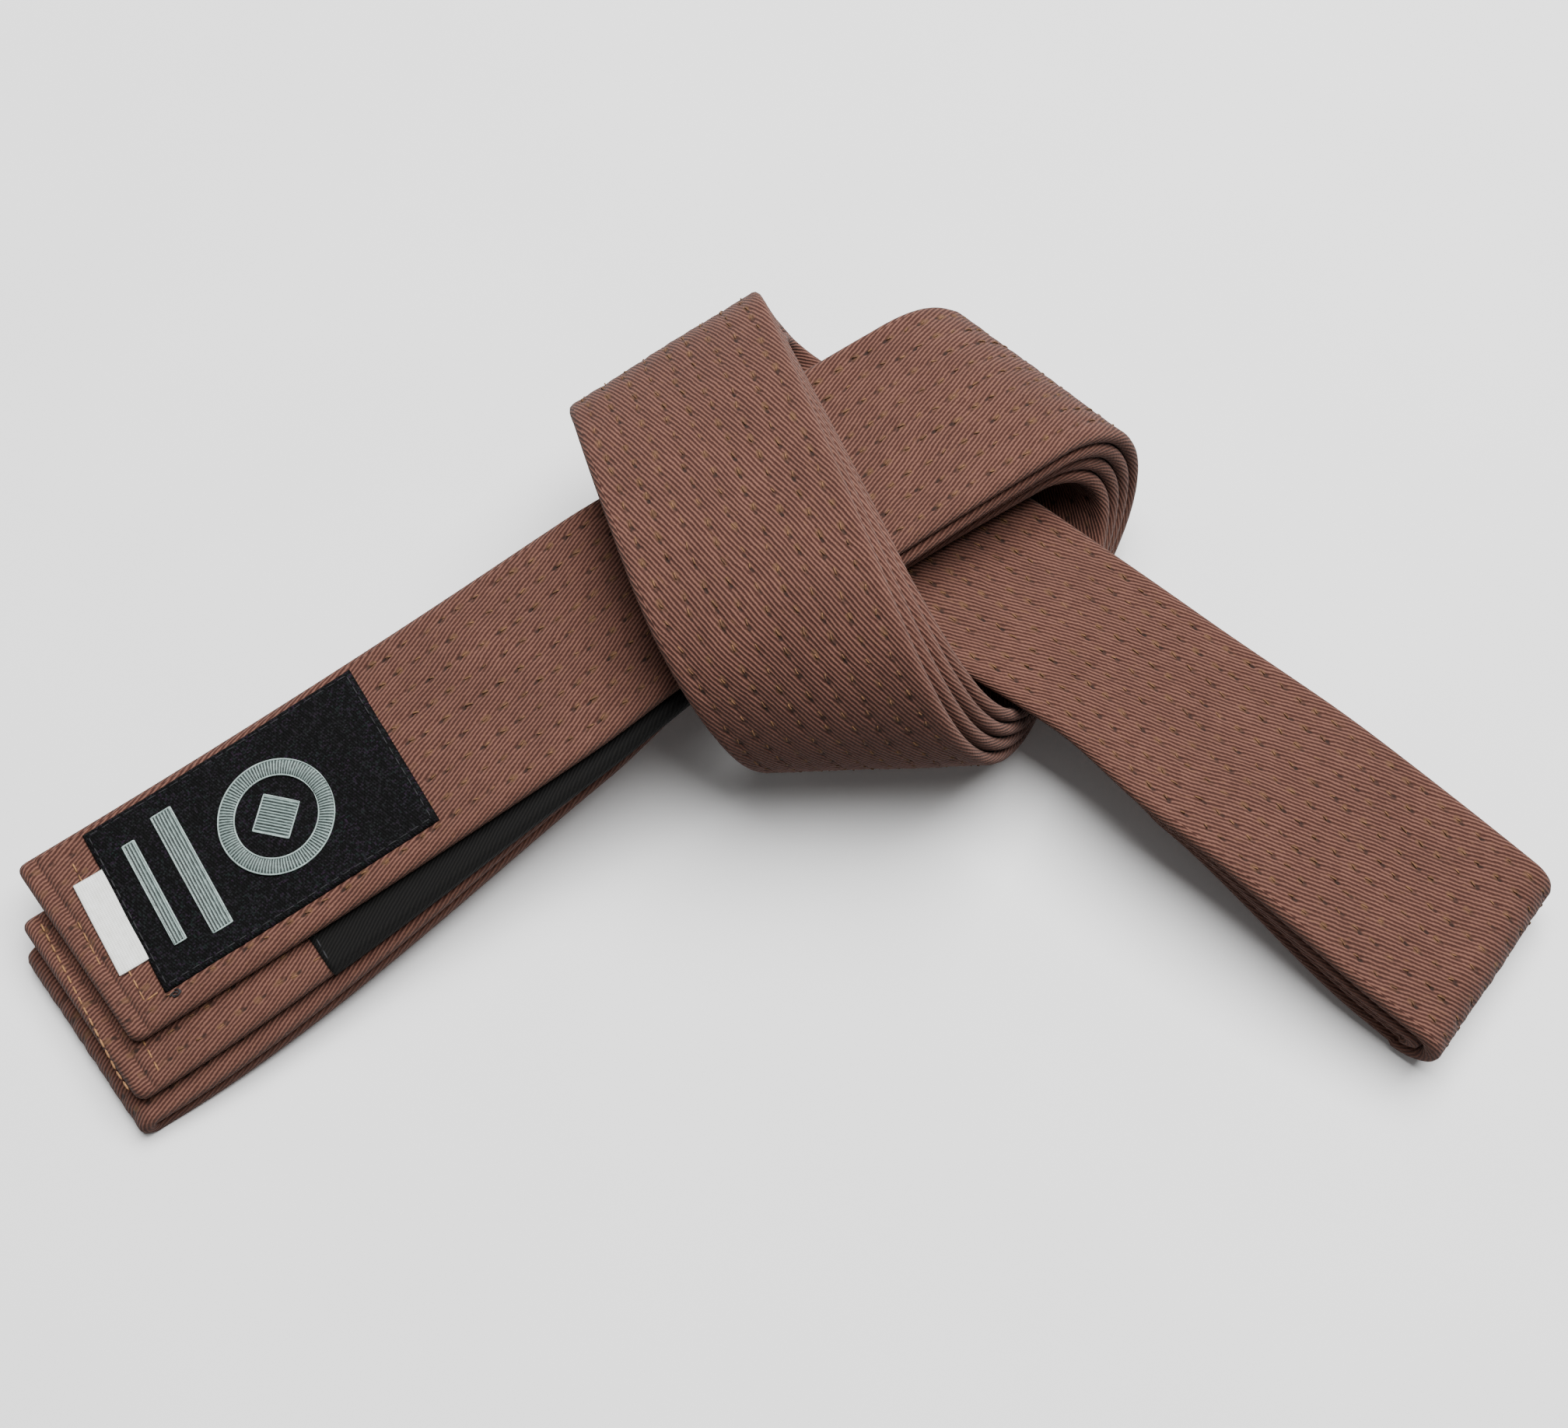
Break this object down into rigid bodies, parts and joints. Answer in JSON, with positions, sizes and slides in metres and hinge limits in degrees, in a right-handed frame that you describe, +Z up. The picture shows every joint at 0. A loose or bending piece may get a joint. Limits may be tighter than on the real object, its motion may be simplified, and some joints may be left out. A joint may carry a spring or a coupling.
{
  "type": "martial arts belt",
  "caption": "Flat quilted cotton belt, folded into a bundle and tied in one overhand knot that lies flat between two angled arms, with a dark bar and a label near one end.",
  "frame": {"origin": "on the floor, under the middle of the flat panel at the bottom of the knot", "axes": "+Z up from the floor, +X from the labelled arm towards the folded arm, +Y from the tips of the arms towards the knot"},
  "size_m": [0.2838, 0.1572, 0.0611],
  "materials": {
    "cloth_brown": "matt quilted cotton twill",
    "core_cotton": "matt undyed cotton",
    "thread_brown": "soft spun thread",
    "cloth_black": "matt black twill",
    "label_black": "dense black woven label",
    "thread_silver": "satin stitch with a soft sheen",
    "tag_white": "smooth white woven tape"
  },
  "bodies": {
    "root": {"outer_cover": "cloth_brown", "inner_core": "core_cotton", "quilting_rows": "thread_brown", "hem_stitching_end_a": "thread_brown", "hem_stitching_end_b": "thread_brown", "rank_bar": "cloth_black", "rank_bar_stitching": "thread_brown", "label_patch": "label_black", "label_border_stitching": "label_black", "label_emblem": "thread_silver", "label_bar_long": "thread_silver", "label_bar_short": "thread_silver", "size_tag": "tag_white"}
  },
  "joints": []
}
